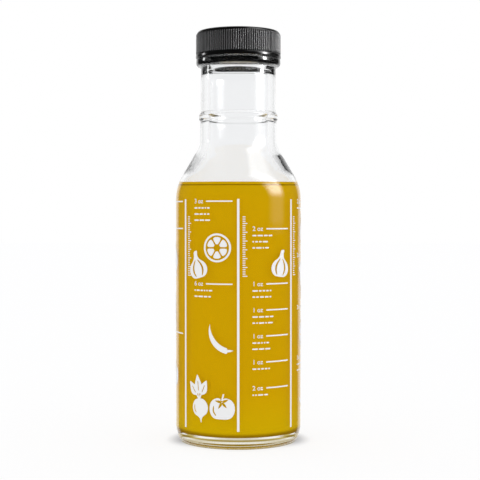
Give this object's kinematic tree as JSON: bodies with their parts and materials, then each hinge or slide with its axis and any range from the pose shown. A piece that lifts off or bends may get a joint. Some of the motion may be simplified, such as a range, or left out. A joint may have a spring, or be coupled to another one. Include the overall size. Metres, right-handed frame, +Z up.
{
  "type": "salad dressing shaker bottle",
  "caption": "Ring-neck glass bottle with a ribbed black screw cap, a foam liner, a white printed measuring scale and golden oil dressing inside, for mixing and pouring salad dressing.",
  "frame": {"origin": "on the bottle's axis, in the plane that its base stands on", "axes": "+Z up along the bottle's axis, -Y towards the front, where the middle printed rule is, +X to the right of the front"},
  "size_m": [0.0598, 0.0597, 0.1948],
  "materials": {
    "flint_glass": "polished",
    "dressing": "gloss",
    "black_cap": "gloss",
    "liner_foam": "matte",
    "white_enamel": "satin"
  },
  "bodies": {
    "bottle": {"glass_bottle": "flint_glass", "dressing": "dressing", "print_rules": "white_enamel", "print_measure_lines": "white_enamel", "print_figures": "white_enamel"},
    "liner": {"cap_liner": "liner_foam"},
    "cap": {"screw_cap": "black_cap"}
  },
  "joints": [
    {"name": "cap_lift", "type": "slide", "parent": "bottle", "child": "liner", "axis": [0, 0, 1], "range_m": [0, 0.0127]},
    {"name": "cap_turn", "type": "hinge", "parent": "liner", "child": "cap", "pos_m": [0, 0, 0.188], "axis": [0, 0, 1], "range_deg": [0, 1080]}
  ],
  "couplings": [
    {"joint": "cap_lift", "follows": "cap_turn", "m_per_rad": 0.00067371}
  ]
}
